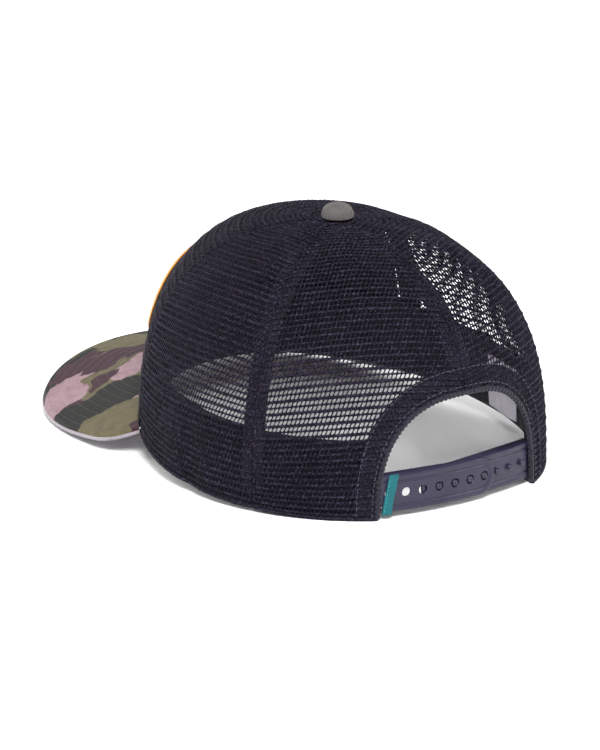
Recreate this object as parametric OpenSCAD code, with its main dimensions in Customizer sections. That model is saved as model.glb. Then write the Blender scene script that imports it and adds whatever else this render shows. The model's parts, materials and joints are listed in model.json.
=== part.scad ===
// Five-panel trucker cap with mesh panels, a curved brim and a plastic snap strap.
// Brim towards -Y, wearer's left towards +X, +Z up. It stands on the back of its
// hem and on the two corners of its brim, at z = 0.

/* [Crown] */
// Half width of the crown at the hem
crown_a = 94; // [84:0.5:100]
// Half length of the crown at the hem
crown_b = 101; // [92:0.5:108]
// Height of the crown's top above the floor
crown_h = 115; // [105:1:130]
// Place of the crown's top along Y
top_y = -4; // [-10:1:10]
// Height of the hem at the front, above the floor
hem_lift = 23; // [15:1:26]
// Thickness of a mesh panel with its turned seams
mesh_t = 1.2; // [0.8:0.1:1.8]
// Angle of the front seams from straight ahead
front_seam = 60; // [52:1:66]
// Angle of the side seams from straight ahead
side_seam = 116; // [108:1:124]
// Width of a seam tape
tape_w = 11; // [8:0.5:14]

/* [Sweatband] */
// Height of the sweatband
band_h = 38; // [30:1:42]
// Thickness of the foam behind the sweatband
pad_t = 1.4; // [0.8:0.1:2]
// Thickness of the sweatband's cloth
band_t = 0.9; // [0.6:0.1:1.2]

/* [Rear opening] */
// Half angle of the opening at the hem
open_half = 28.8; // [27:0.2:30]
// Height of the opening
open_h = 55.4; // [48:0.2:62]
// Width of the binding round the opening
binding_w = 11; // [8:0.5:13]

/* [Brim] */
// Half of the brim's greatest width
brim_half_w = 92; // [90:0.5:98]
// Length of the brim ahead of the crown
brim_len = 76; // [65:1:82]
// Thickness of the plastic board
board_t = 2; // [1.5:0.1:2.5]
// Thickness of each cloth cover
cover_t = 0.8; // [0.6:0.1:1]
// Slope of the brim's middle line, as a fall in each unit of length
brim_fall = 0.125; // [0.05:0.005:0.15]

/* [Strap] */
// Radius that the strap bends to
strap_r = 160; // [140:1:200]
// Width of the strap
strap_w = 18; // [16:0.5:20]
// Thickness of the strap
strap_t = 1.2; // [1:0.1:1.5]
// Distance from one peg to the next
peg_pitch = 8.6; // [8.2:0.1:9]
// Radius of a peg
peg_r = 1.7; // [1.5:0.1:1.8]
// Radius of a hole
hole_r = 2.2; // [2.2:0.1:2.6]

/* [Button] */
// Radius of the covered button
button_r = 7.6; // [6.5:0.1:8.5]
// Height of the covered button
button_h = 6.6; // [5:0.1:8]

/* [Patch] */
// Half angle that the patch covers on the front panel
patch_half = 43; // [30:1:45]
// Height of the patch's middle above the hem
patch_mid_h = 48; // [38:1:48]
// Half of the patch's height
patch_half_h = 21; // [20:1:30]
// Width of the patch's stitched border
patch_edge_w = 3.5; // [3:0.5:5]

/* [Hidden] */
$fn = 48;
gap = 0.15;
open_n = 2.6;
front_n = 3.6;
back_n = 2.3;
front_m = 2.25;
back_m = 3.1;

tape_off = mesh_t + 0.2;
tape_t = 0.8;
pad_room = 0.35;
pad_off = tape_off + tape_t + pad_room;
band_off = pad_off + pad_t + gap;
band_in = band_off + band_t;

navy = [0.13, 0.12, 0.18];
tape_navy = [0.10, 0.09, 0.14];
band_navy = [0.16, 0.15, 0.21];
strap_navy = [0.26, 0.25, 0.34];
camo_olive = [0.45, 0.42, 0.32];
lilac = [0.70, 0.64, 0.69];
orange = [0.90, 0.58, 0.16];
patch_cream = [0.80, 0.74, 0.62];
grey_cloth = [0.36, 0.35, 0.35];
steel = [0.70, 0.71, 0.73];
board_white = [0.88, 0.88, 0.86];
teal = [0.06, 0.50, 0.52];
label_white = [0.78, 0.75, 0.80];

// ---- The crown's surface ----
// An angle of 0 is straight ahead (-Y), and it grows towards the wearer's left (+X).
// s runs from 0 at the hem to 1 at the top, and depth goes inwards from the outside.

function front_share(ang) = (1 + cos(ang)) / 2;
function plan_power(ang) = back_n + (front_n - back_n) * pow(front_share(ang), 3);
function rise_power(ang) = front_m + (back_m - front_m) * pow(1 - front_share(ang), 2.25);
function hem_z(ang) = hem_lift * pow(front_share(ang), 2);
function crown_at(ang, s, depth) = let(
        turn = min(max(s, 0), 1) * 90,
        out = pow(max(cos(turn), 0), 2 / plan_power(ang)),
        up = pow(sin(turn), 2 / rise_power(ang)),
        z0 = hem_z(ang)
    ) [
        (crown_a - depth) * sin(ang) * out,
        top_y * (1 - out) - (crown_b - depth) * cos(ang) * out,
        z0 + (crown_h - depth - z0) * up
    ];
// The value of s at a height above the hem
function s_at(ang, h) = asin(pow(max(h, 0) / (crown_h - hem_z(ang)), rise_power(ang) / 2)) / 90;

// The value of s at a distance out from the top
function s_near_top(ang, r) = let(p = crown_at(ang, 0, 0))
    acos(pow(r / norm([p[0], p[1] - top_y]), plan_power(ang) / 2)) / 90;

// ---- The rear opening ----
// Its edge is an arch, and grow moves the edge outwards in millimetres.
mm_per_deg = crown_b * PI / 180;
function arch_half(grow) = open_half + grow / mm_per_deg;
function arch_ang(t, grow) = 180 - arch_half(grow) * sign(cos(t)) * pow(abs(cos(t)), 2 / open_n);
function arch_h(t, grow) = (open_h + grow) * pow(sin(t), 2 / open_n);

// ---- Closed shells from two grids of points ----
// grid_out and grid_in hold rows of points, with the same rows and columns.
module shell(grid_out, grid_in) {
    rows = len(grid_out);
    cols = len(grid_out[0]);
    n = rows * cols;
    pts = concat([for (row = grid_out) for (p = row) p], [for (row = grid_in) for (p = row) p]);
    faces = concat(
        [for (i = [0:rows - 2]) for (j = [0:cols - 2]) let(a = i * cols + j)
            each [[a, a + 1, a + cols], [a + 1, a + cols + 1, a + cols]]],
        [for (i = [0:rows - 2]) for (j = [0:cols - 2]) let(a = n + i * cols + j)
            each [[a, a + cols, a + 1], [a + 1, a + cols, a + cols + 1]]],
        [for (j = [0:cols - 2]) let(a = j)
            each [[a, n + a, a + 1], [a + 1, n + a, n + a + 1]]],
        [for (j = [0:cols - 2]) let(a = (rows - 1) * cols + j)
            each [[a, a + 1, n + a], [a + 1, n + a + 1, n + a]]],
        [for (i = [0:rows - 2]) let(a = i * cols)
            each [[a, a + cols, n + a], [a + cols, n + a + cols, n + a]]],
        [for (i = [0:rows - 2]) let(a = i * cols + cols - 1)
            each [[a, n + a, a + cols], [a + cols, n + a, n + a + cols]]]
    );
    polyhedron(pts, faces, convexity = 6);
}

// A stretch of the crown that starts and ends at its own s in each column
module crown_shell(angs, lows, highs, depth_out, depth_in, rows) {
    shell(
        [for (i = [0:rows]) [for (j = [0:len(angs) - 1])
            crown_at(angs[j], lows[j] + (highs[j] - lows[j]) * i / rows, depth_out)]],
        [for (i = [0:rows]) [for (j = [0:len(angs) - 1])
            crown_at(angs[j], lows[j] + (highs[j] - lows[j]) * i / rows, depth_in)]]
    );
}
function steps(from, to, count) = [for (i = [0:count]) from + (to - from) * i / count];

// ---- Mesh panels ----
seam_gap = 0.12;
panel_rows = 16;
panel_tip_r = 3.5;
function panel_tops(angs) = [for (a = angs) s_near_top(a, panel_tip_r)];
module panel(from, to, columns) {
    angs = steps(from + seam_gap, to - seam_gap, columns);
    color(navy)
        crown_shell(angs, [for (a = angs) 0], panel_tops(angs), 0, mesh_t, panel_rows);
}
module front_panel() panel(-front_seam, front_seam, 24);
module side_panel_left() panel(front_seam, side_seam, 12);
module side_panel_right() mirror([1, 0, 0]) side_panel_left();
// The cut-away columns follow the arch, so that its edge is smooth.
module back_panel_left() {
    arch_cols = 10;
    arch_ts = [for (i = [0:arch_cols]) 90 * i / arch_cols];
    solid_angs = steps(side_seam + seam_gap, 180 - open_half - 0.6, 8);
    cut_angs = [for (t = arch_ts) arch_ang(t, 0) - (t == 90 ? seam_gap : 0)];
    angs = concat(solid_angs, cut_angs);
    lows = concat([for (a = solid_angs) 0],
        [for (i = [0:arch_cols]) s_at(cut_angs[i], arch_h(arch_ts[i], 0))]);
    color(navy)
        crown_shell(angs, lows, panel_tops(angs), 0, mesh_t, panel_rows);
}
module back_panel_right() mirror([1, 0, 0]) back_panel_left();

// ---- Tapes inside the seams ----
// A tape keeps its width, so its two edges close in on the top by angle.
tape_stop_r = 13;
tape_low = 0.02;
module seam_tape(ang, low_s) {
    rows = 18;
    high_s = s_near_top(ang, tape_stop_r);
    half = tape_w / 2;
    ss = steps(low_s, high_s, rows);
    reach = [for (s = ss) let(p = crown_at(ang, s, tape_off)) norm([p[0], p[1] - top_y])];
    color(tape_navy)
        shell(
            [for (i = [0:rows]) [for (k = [-1:0.5:1])
                crown_at(ang + k * asin(half / reach[i]), ss[i], tape_off)]],
            [for (i = [0:rows]) [for (k = [-1:0.5:1])
                crown_at(ang + k * asin(half / reach[i]), ss[i], tape_off + tape_t)]]
        );
}
module seam_tape_front_left() seam_tape(front_seam, tape_low);
module seam_tape_front_right() mirror([1, 0, 0]) seam_tape_front_left();
module seam_tape_side_left() seam_tape(side_seam, tape_low);
module seam_tape_side_right() mirror([1, 0, 0]) seam_tape_side_left();
module seam_tape_back() seam_tape(180, s_at(180, open_h + binding_w + 0.5));

// ---- Stiff lining behind the front panel ----
module front_backing() {
    side_room = tape_w / 2 + 1;
    rows = 14;
    cols = 20;
    function row_s(ang, i) = tape_low + (s_near_top(ang, tape_stop_r) - tape_low) * i / rows;
    function row_half(i) = let(p = crown_at(front_seam, row_s(front_seam, i), tape_off))
        front_seam - asin(side_room / norm([p[0], p[1] - top_y]));
    function at(i, j, depth) = let(ang = row_half(i) * (2 * j / cols - 1))
        crown_at(ang, row_s(ang, i), depth);
    color(tape_navy)
        shell(
            [for (i = [0:rows]) [for (j = [0:cols]) at(i, j, tape_off)]],
            [for (i = [0:rows]) [for (j = [0:cols]) at(i, j, tape_off + tape_t)]]
        );
}

// ---- Binding round the rear opening ----
module opening_binding() {
    depth = tape_off + gap;
    ts = steps(0, 180, 40);
    widths = [0, 0.5, 1] * binding_w;
    color(tape_navy)
        shell(
            [for (w = widths) [for (t = ts) let(a = arch_ang(t, w))
                crown_at(a, s_at(a, arch_h(t, w)), depth)]],
            [for (w = widths) [for (t = ts) let(a = arch_ang(t, w))
                crown_at(a, s_at(a, arch_h(t, w)), depth + tape_t)]]
        );
}

// ---- Sweatband and the foam behind it ----
band_half = 180 - open_half - 1;
module band(depth_out, depth_in, low, high) {
    angs = steps(-band_half, band_half, 64);
    crown_shell(angs, [for (a = angs) s_at(a, low)], [for (a = angs) s_at(a, high)],
        depth_out, depth_in, 3);
}
module sweatband_pad() color(band_navy) band(pad_off, pad_off + pad_t, 1.5, band_h - 2);
module sweatband() color(band_navy) band(band_off, band_in, 0.6, band_h);

// ---- Patch on the front panel ----
patch_t = 1.2;
patch_n = 3;
// A point of the patch, where r is 1 on its edge
function patch_at(t, r, depth) = let(
        ang = patch_half * r * sign(cos(t)) * pow(abs(cos(t)), 2 / patch_n),
        h = patch_mid_h + patch_half_h * r * sign(sin(t)) * pow(abs(sin(t)), 2 / patch_n)
    ) crown_at(ang, s_at(ang, h), depth);
patch_sides = 48;
face_rings = 5;
module patch_ring(r_in, r_out, depth_out, depth_in) {
    rings = steps(r_in, r_out, 3);
    n = patch_sides;
    m = len(rings) * n;
    last = len(rings) - 1;
    pts = concat(
        [for (r = rings) for (k = [0:n - 1]) patch_at(k * 360 / n, r, depth_out)],
        [for (r = rings) for (k = [0:n - 1]) patch_at(k * 360 / n, r, depth_in)]);
    faces = concat(
        [for (i = [0:last - 1]) for (k = [0:n - 1]) let(a = i * n + k, b = i * n + (k + 1) % n)
            each [[a, b, a + n], [b, b + n, a + n]]],
        [for (i = [0:last - 1]) for (k = [0:n - 1])
            let(a = m + i * n + k, b = m + i * n + (k + 1) % n)
            each [[a, a + n, b], [b, a + n, b + n]]],
        [for (k = [0:n - 1]) let(a = k, b = (k + 1) % n)
            each [[a, m + a, b], [b, m + a, m + b]]],
        [for (k = [0:n - 1]) let(a = last * n + k, b = last * n + (k + 1) % n)
            each [[a, b, m + a], [b, m + b, m + a]]]
    );
    polyhedron(pts, faces, convexity = 6);
}
edge_share = 1 - patch_edge_w / patch_half_h;
patch_room = 0.4;
module patch_border() color(orange) patch_ring(edge_share, 1, -patch_room - patch_t - 0.5, -patch_room);
// The patch itself is a grid of rings that closes on its middle point.
module front_patch() {
    rings = steps(0, edge_share - 0.01, face_rings);
    n = patch_sides;
    m = 1 + face_rings * n;
    pts = concat(
        [for (d = [-patch_room - patch_t, -patch_room]) each concat([patch_at(0, 0, d)],
            [for (i = [1:face_rings]) for (k = [0:n - 1]) patch_at(k * 360 / n, rings[i], d)])]);
    faces = concat(
        [for (k = [0:n - 1]) let(a = 1 + k, b = 1 + (k + 1) % n) each [[0, b, a], [m, m + a, m + b]]],
        [for (i = [0:face_rings - 2]) for (k = [0:n - 1]) let(a = 1 + i * n + k, b = 1 + i * n + (k + 1) % n)
            each [[a, b, a + n], [b, b + n, a + n], [m + a, m + a + n, m + b],
                [m + b, m + a + n, m + b + n]]],
        [for (k = [0:n - 1]) let(a = 1 + (face_rings - 1) * n + k, b = 1 + (face_rings - 1) * n + (k + 1) % n)
            each [[a, b, m + a], [b, m + b, m + a]]]
    );
    color(patch_cream) polyhedron(pts, faces, convexity = 6);
}

// ---- Brim ----
brim_drop = 1.2;
// The brim's middle surface is arched across and falls a little towards its tip.
arch_k = (hem_lift * (1 - pow(front_share(front_seam), 2)) + brim_fall * crown_b * (1 - cos(front_seam)))
    / pow(crown_a * sin(front_seam), 2);
function brim_z(x, y) = hem_lift + brim_drop - arch_k * x * x + brim_fall * (y + crown_b);
brim_n = 2.4;
brim_wide_y = -76;
root_x = (crown_a + gap) * sin(front_seam);
root_y = -(crown_b + gap) * cos(front_seam);
tip_l = brim_len + crown_b + brim_wide_y;
// The outline behind its widest line passes through the end of the seam.
start_t = acos(pow(root_x / brim_half_w, brim_n / 2));
rear_l = (root_y - brim_wide_y) / pow(sin(start_t), 2 / brim_n);
function brim_edge(t, inset) = [
    (brim_half_w - inset) * sign(cos(t)) * pow(abs(cos(t)), 2 / brim_n),
    brim_wide_y - (sin(t) > 0 ? tip_l - inset : -rear_l) * pow(abs(sin(t)), 2 / brim_n)
];
function brim_root(u, inset) = let(ang = front_seam * (1 - 2 * u)) [
    (crown_a + gap) * sin(ang), -(crown_b + gap) * cos(ang) - inset
];
module brim_layer(z_top, z_low, inset) {
    cols = 44;
    rows = 7;
    function at(u, v, dz) = let(
            t = -start_t + (180 + 2 * start_t) * u,
            p = brim_root(u, inset) * (1 - v) + brim_edge(t, inset) * v
        ) [p[0], p[1], brim_z(p[0], p[1]) + dz];
    shell(
        [for (i = [0:rows]) [for (j = [0:cols]) at(1 - j / cols, i / rows, z_low)]],
        [for (i = [0:rows]) [for (j = [0:cols]) at(1 - j / cols, i / rows, z_top)]]
    );
}
module brim_board() color(board_white) brim_layer(board_t / 2, -board_t / 2, 0.8);
module brim_top_cover()
    color(camo_olive) brim_layer(board_t / 2 + 0.05 + cover_t, board_t / 2 + 0.05, 0);
module brim_under_cover()
    color(lilac) brim_layer(-board_t / 2 - 0.05, -board_t / 2 - 0.05 - cover_t, 0);

// ---- Top button ----
button_z = crown_h + 0.4;
cloth_t = 0.7;
module dome(r, h) {
    // A flat-bottomed dome with a rounded shoulder, turned about Z
    rotate_extrude($fn = 64)
        polygon(concat([[0, 0]], [for (a = [0:9:90]) [r * pow(cos(a), 0.7), h * pow(sin(a), 0.8)]]));
}
module button_cover() color(grey_cloth) translate([0, top_y, button_z])
    difference() {
        dome(button_r, button_h);
        translate([0, 0, -1]) cylinder(r = button_r - cloth_t, h = 1 + 1.6);
        translate([0, 0, 1.6]) dome(button_r - cloth_t, button_h - cloth_t - 1.6);
    }
shell_room = 0.1;
module button_shell() color(steel) translate([0, top_y, button_z])
    difference() {
        union() {
            cylinder(r = button_r - cloth_t - shell_room, h = 1.5);
            translate([0, 0, 1.5]) dome(button_r - cloth_t - shell_room, button_h - cloth_t - 1.7);
        }
        translate([0, 0, -1]) cylinder(r = button_r - 2, h = 2.5);
        cylinder(r = 1.4, h = 4);
    }
prong_r = 1.3;
washer_z = crown_h - mesh_t - 2.6;
module button_prong() color(steel) translate([0, top_y, washer_z + 1.2])
    cylinder(r = prong_r, h = button_z + 3.2 - washer_z - 1.2);
module button_washer() color(steel) translate([0, top_y, washer_z])
    difference() {
        cylinder(r = 6.5, h = 1);
        translate([0, 0, -1]) cylinder(r = prong_r + 0.1, h = 3);
    }

// ---- Snap strap ----
// Both halves are bands round one upright line, the half with holes outside.
strap_low = 3;
strap_mid_z = strap_low + strap_w / 2;
open_x = crown_a * sin(open_half);
open_y = crown_b * cos(open_half);
strap_y = open_y - 2.2 - sqrt(strap_r * strap_r - open_x * open_x);
// An arc length from the middle of the back, as an angle round the strap's line
function strap_ang(arc) = arc / strap_r * 180 / PI;
hinge_arc = 42.4;
holes_in = strap_r;
pegs_out = strap_r - gap;
first_peg = 13.6;
holes_tip = first_peg - 3 * peg_pitch - 6.4;
pegs_tip = first_peg + peg_pitch;
module strap_ring(r_in, r_out, lo, hi)
    translate([0, strap_y, strap_low])
        rotate([0, 0, 90 - strap_ang(hi)])
            rotate_extrude(angle = strap_ang(hi - lo), $fn = 180)
                translate([r_in, 0]) square([r_out - r_in, strap_w]);
// A round bar along the strap's outward direction at an arc length
module strap_bar(arc, r, from, to)
    translate([0, strap_y, strap_mid_z])
        rotate([0, 0, -strap_ang(arc)])
            translate([0, from, 0]) rotate([-90, 0, 0]) cylinder(r = r, h = to - from);
// A half runs from its sewn end at +X to its round tip.
module strap_half(r_in, tip) {
    tip_r = strap_w / 2;
    intersection() {
        strap_ring(r_in, r_in + strap_t, tip, hinge_arc);
        translate([0, strap_y, strap_mid_z])
            rotate([0, 0, -strap_ang(tip + tip_r)])
                translate([0, r_in - 20, 0]) rotate([-90, 0, 0])
                    linear_extrude(24) strap_face(tip_r);
    }
    translate([0, strap_y, strap_low])
        rotate([0, 0, -strap_ang(hinge_arc)])
            translate([0, r_in + strap_t / 2, 0]) cylinder(r = strap_t / 2, h = strap_w);
}
// The strap's face seen from behind, with a round tip
module strap_face(tip_r) {
    circle(r = tip_r);
    translate([0, -tip_r]) square([90, 2 * tip_r]);
}
module snap_strap_holes() color(strap_navy)
    difference() {
        strap_half(holes_in, holes_tip);
        for (k = [-3:3])
            strap_bar(first_peg - k * peg_pitch, hole_r, holes_in - 2, holes_in + 4);
    }
peg_proud = 0.25;
module snap_strap_pegs() color(strap_navy) {
    mirror([1, 0, 0]) strap_half(pegs_out - strap_t, -pegs_tip);
    for (k = [0:6])
        strap_bar(first_peg - k * peg_pitch, peg_r, pegs_out - strap_t / 2,
            holes_in + strap_t + peg_proud);
}

// ---- Tag and label ----
tag_w = 4.6;
tag_t = 0.9;
tag_start = hinge_arc - 1.2;
module side_tag() color(teal)
    translate([0, strap_y, strap_low - 0.4])
        rotate([0, 0, 90 - strap_ang(tag_start)])
            rotate_extrude(angle = strap_ang(tag_w), $fn = 180)
                translate([strap_r + strap_t + 0.5, 0]) square([tag_t, strap_w + 0.8]);

label_w = 30;
label_h = 26;
label_top = band_h - 3;
label_t = 0.5;
label_ang = 101;
label_room = 0.5;
// The label is flat, and stands just inside the sweatband.
function label_mid() = let(p = crown_at(-label_ang, s_at(-label_ang, label_top), band_in))
    [p[0], p[1]];
label_turn = atan2(label_mid()[1], label_mid()[0]) - 90;
label_reach = norm(label_mid()) - 2.2 - label_room;
module care_label() color(label_white)
    rotate([0, 0, label_turn])
        translate([-label_w / 2, label_reach - label_t, label_top - label_h])
            cube([label_w, label_t, label_h]);

// The crown's middle is at x = 0, y = 0 above. The finished cap is moved along Y, so that
// the origin lies in the middle of its length.
back_y = crown_at(180 - seam_gap, s_at(180 - seam_gap, open_h), 0)[1];
module placed() translate([0, (crown_b + brim_len - back_y) / 2, 0]) children();

placed() front_panel();
placed() side_panel_left();
placed() side_panel_right();
placed() back_panel_left();
placed() back_panel_right();
placed() front_backing();
placed() seam_tape_front_left();
placed() seam_tape_front_right();
placed() seam_tape_side_left();
placed() seam_tape_side_right();
placed() seam_tape_back();
placed() opening_binding();
placed() sweatband_pad();
placed() sweatband();
placed() front_patch();
placed() patch_border();
placed() brim_board();
placed() brim_top_cover();
placed() brim_under_cover();
placed() button_cover();
placed() button_shell();
placed() button_prong();
placed() button_washer();
placed() snap_strap_holes();
placed() snap_strap_pegs();
placed() side_tag();
placed() care_label();
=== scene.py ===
import json
import math

import bmesh
import bpy
import numpy as np
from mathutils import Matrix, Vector, geometry


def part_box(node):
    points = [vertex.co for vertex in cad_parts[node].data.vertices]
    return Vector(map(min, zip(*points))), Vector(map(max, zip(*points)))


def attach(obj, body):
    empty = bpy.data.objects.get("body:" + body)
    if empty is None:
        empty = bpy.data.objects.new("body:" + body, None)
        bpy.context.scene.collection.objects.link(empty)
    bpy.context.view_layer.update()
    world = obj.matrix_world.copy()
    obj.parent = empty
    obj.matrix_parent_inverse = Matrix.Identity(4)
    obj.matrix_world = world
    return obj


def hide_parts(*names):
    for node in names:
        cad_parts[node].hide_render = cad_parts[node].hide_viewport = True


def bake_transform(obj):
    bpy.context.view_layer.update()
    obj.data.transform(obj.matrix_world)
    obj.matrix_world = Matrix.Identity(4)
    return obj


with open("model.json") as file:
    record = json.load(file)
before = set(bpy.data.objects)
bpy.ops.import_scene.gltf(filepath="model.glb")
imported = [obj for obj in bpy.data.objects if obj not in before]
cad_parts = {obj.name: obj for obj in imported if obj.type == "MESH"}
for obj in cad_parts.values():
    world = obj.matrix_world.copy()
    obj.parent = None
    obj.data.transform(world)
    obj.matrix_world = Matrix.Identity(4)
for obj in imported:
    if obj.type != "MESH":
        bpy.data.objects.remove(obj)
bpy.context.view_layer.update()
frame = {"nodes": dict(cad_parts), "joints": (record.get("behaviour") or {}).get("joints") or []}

# ---- Crown panels ----
# Five panels of stiff polyester mesh, warp knitted with open eyes between level ribs.
# They are cut with the rows level with the hem and sewn edge to edge into a shell.

button_low, button_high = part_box("button_cover")
TOP_BACK = 4.0  # mm, the button stands this far ahead of the hem's centre
CENTRE_Y = 500 * (button_low.y + button_high.y) + TOP_BACK
HALF_WIDE, HALF_LONG, HIGH = 94.0, 101.0, 115.0  # mm, outside of the mesh
HEM_LIFT = 23.0  # mm, how much higher the hem is over the brim
OPEN_HALF, OPEN_HIGH, OPEN_POWER = 28.8, 55.4, 2.6  # degrees, mm: the rear opening


def front_share(turn):
    """1 straight ahead, 0 straight behind; turn is in degrees round the hem."""
    return (1 + np.cos(np.radians(turn))) / 2


def slump(turn, up):
    """How far the soft shell has given inward, in mm."""
    side = (np.asarray(turn, float) + 180) % 360 - 180
    crease = 1.1 * np.exp(-(((side - 94 + 14 * up) / 3.6) ** 2)) * np.clip(1.6 - 3 * up, 0, 1)
    ripple = 0.45 * (1 + np.sin(0.13 * side + 6 * up)) * np.clip(3 * up - 0.9, 0, 1)
    return (crease + ripple * np.clip(6 - 6 * up, 0, 1)) * np.clip(np.abs(side) / 40 - 1.2, 0, 1)


def rise_power(turn):
    return 2.25 + 0.85 * (1 - front_share(turn)) ** 2.25


def shell(turn, up, depth=0.0):
    """A point of the shell in metres: up is 0 on the hem and 1 on top, depth is mm inward."""
    turn, up = np.asarray(turn, float), np.clip(np.asarray(up, float), 0, 1)
    depth = depth + slump(turn, up)
    share, around, climb = front_share(turn), np.radians(turn), up * np.pi / 2
    out = np.maximum(np.cos(climb), 0) ** (2 / (2.3 + 1.3 * share**3))
    hem = HEM_LIFT * share**2
    x = (HALF_WIDE - depth) * np.sin(around) * out
    y = CENTRE_Y - TOP_BACK * (1 - out) - (HALF_LONG - depth) * np.cos(around) * out
    z = hem + (HIGH - depth - hem) * np.sin(climb) ** (2 / rise_power(turn))
    return np.stack(np.broadcast_arrays(x, y, z), -1) / 1000


def up_at(turn, height):
    """The share of the way up at a height in mm above the hem."""
    lift = np.clip(height / (HIGH - HEM_LIFT * front_share(turn) ** 2), 0, 1)
    return np.degrees(np.arcsin(lift ** (rise_power(turn) / 2))) / 90


def up_short_of_top(turn, distance):
    """The share of the way up at a level distance in mm from the button's middle."""
    ups = np.linspace(0.5, 1, 1200)
    flat = shell(turn, ups)[:, :2] * 1000 - [0, CENTRE_Y - TOP_BACK]
    return float(np.interp(-distance, -np.linalg.norm(flat, axis=1), ups))


def degrees_for(mm, turn, up):
    """The turn in degrees that goes mm round the shell at that height."""
    step = shell(turn + 0.5, up) - shell(turn - 0.5, up)
    return mm / (1000 * np.linalg.norm(step, axis=-1))


def piece(name, points, faces, finish, body="cap", stands_for=(), slot=None):
    """A smooth mesh piece that rides a body."""
    mesh = bpy.data.meshes.new(name)
    mesh.from_pydata(np.asarray(points, float).tolist(), [], [list(map(int, f)) for f in faces])
    mesh.validate()
    if len(faces) > 1:
        shaped = bmesh.new()
        shaped.from_mesh(mesh)
        bmesh.ops.recalc_face_normals(shaped, faces=shaped.faces)
        shaped.to_mesh(mesh)
        shaped.free()
    mesh.shade_smooth()
    made = bpy.data.objects.new(name, mesh)
    bpy.context.scene.collection.objects.link(made)
    mesh.materials.append(finish)
    if body:
        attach(made, body)
    if stands_for:
        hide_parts(*stands_for)
    return made


def joined(*parts):
    """Several (points, faces) as one."""
    points, faces, start = [], [], 0
    for some_points, some_faces in parts:
        points.append(np.asarray(some_points, float).reshape(-1, 3))
        faces += [[start + int(i) for i in f] for f in some_faces]
        start += len(points[-1])
    return np.concatenate(points), faces


def ply(outer, inner):
    """A closed layer between two grids of points of the same size."""
    rows, cols = outer.shape[:2]
    at = np.arange(rows * cols).reshape(rows, cols)
    low = at + rows * cols
    a, b, c, d = at[:-1, :-1], at[:-1, 1:], at[1:, 1:], at[1:, :-1]
    front = np.stack([a, b, c, d], -1).reshape(-1, 4)
    rim = np.concatenate([at[0, :], at[1:, -1], at[-1, -2::-1], at[-2:0:-1, 0]])
    rim_low = rim + rows * cols
    side = np.stack([np.roll(rim, -1), rim, rim_low, np.roll(rim_low, -1)], -1)
    faces = np.concatenate([front, front[:, ::-1] + rows * cols, side])
    return np.concatenate([outer.reshape(-1, 3), inner.reshape(-1, 3)]), faces


def node(tree, kind, inputs=(), **settings):
    """A material node with its inputs set or linked."""
    made = tree.nodes.new(kind)
    for key, value in settings.items():
        setattr(made, key, value)
    for key, value in dict(inputs).items():
        if isinstance(value, bpy.types.NodeSocket):
            tree.links.new(value, made.inputs[key])
        else:
            made.inputs[key].default_value = value
    return made


def blank_finish(name, roughness, **sockets):
    """A new material: its tree, its shader and the place on the object."""
    made = bpy.data.materials.new(name)
    made.use_nodes = True
    shader = made.node_tree.nodes["Principled BSDF"]
    shader.inputs["Roughness"].default_value = roughness
    for key, value in sockets.items():
        shader.inputs[key.replace("_", " ")].default_value = value
    place = node(made.node_tree, "ShaderNodeTexCoord").outputs["Object"]
    return made, made.node_tree, shader, place


def mixed_colour(tree, factor, a, b):
    made = node(tree, "ShaderNodeMix", data_type="RGBA")
    for socket, value in ((made.inputs[0], factor), (made.inputs[6], a), (made.inputs[7], b)):
        if isinstance(value, bpy.types.NodeSocket):
            tree.links.new(value, socket)
        else:
            socket.default_value = value
    return made.outputs[2]


def soft_cloud(tree, place, size_mm, low=0.35, high=0.65, detail=3.0):
    cloud = node(tree, "ShaderNodeTexNoise",
                 {"Vector": place, "Scale": 1000 / size_mm, "Detail": detail})
    return node(tree, "ShaderNodeMapRange", {"Value": cloud.outputs["Fac"],
                                             "From Min": low, "From Max": high}).outputs[0]


def raised(tree, shader, height, depth_mm, strength=1.0):
    """Fine relief of depth_mm from a 0 to 1 height."""
    bump = node(tree, "ShaderNodeBump", {"Height": height, "Distance": depth_mm / 1000,
                                         "Strength": strength})
    tree.links.new(bump.outputs["Normal"], shader.inputs["Normal"])


def yarn_finish(name, dark, light, roughness=0.6, sheen=0.35, thread_mm=0.35, patch_mm=16,
                shine=0.15, fleck_and_glint=1.5, flecks_and_glints_from=0.42):
    """Knitted or twisted yarn: two close shades, fine filaments and a slight sheen."""
    made, tree, shader, place = blank_finish(
        name, roughness, Sheen_Weight=sheen, Sheen_Roughness=0.45, Specular_IOR_Level=shine)
    tone = mixed_colour(tree, soft_cloud(tree, place, patch_mm), (*dark, 1), (*light, 1))
    # Paler flecks mixed into the colour. On the mesh yarn, where they are four times as pale, they
    # are painted highlights for the lamps' glints on its glossy threads. On the other yarns they
    # are paler fibres.
    fleck_and_glint_mask = soft_cloud(tree, place, 1.0, flecks_and_glints_from, flecks_and_glints_from + 0.2, 1.0)
    paler_fleck_and_glint = tuple(min(1, fleck_and_glint * c) for c in light)
    tree.links.new(mixed_colour(tree, fleck_and_glint_mask, tone, (*paler_fleck_and_glint, 1)), shader.inputs["Base Color"])
    raised(tree, shader, soft_cloud(tree, place, thread_mm, 0.2, 0.8, 1.0), 0.12)
    return made


MESH_DARK, MESH_LIGHT = (0.0040, 0.0032, 0.0066), (0.0078, 0.0065, 0.0118)
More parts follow.
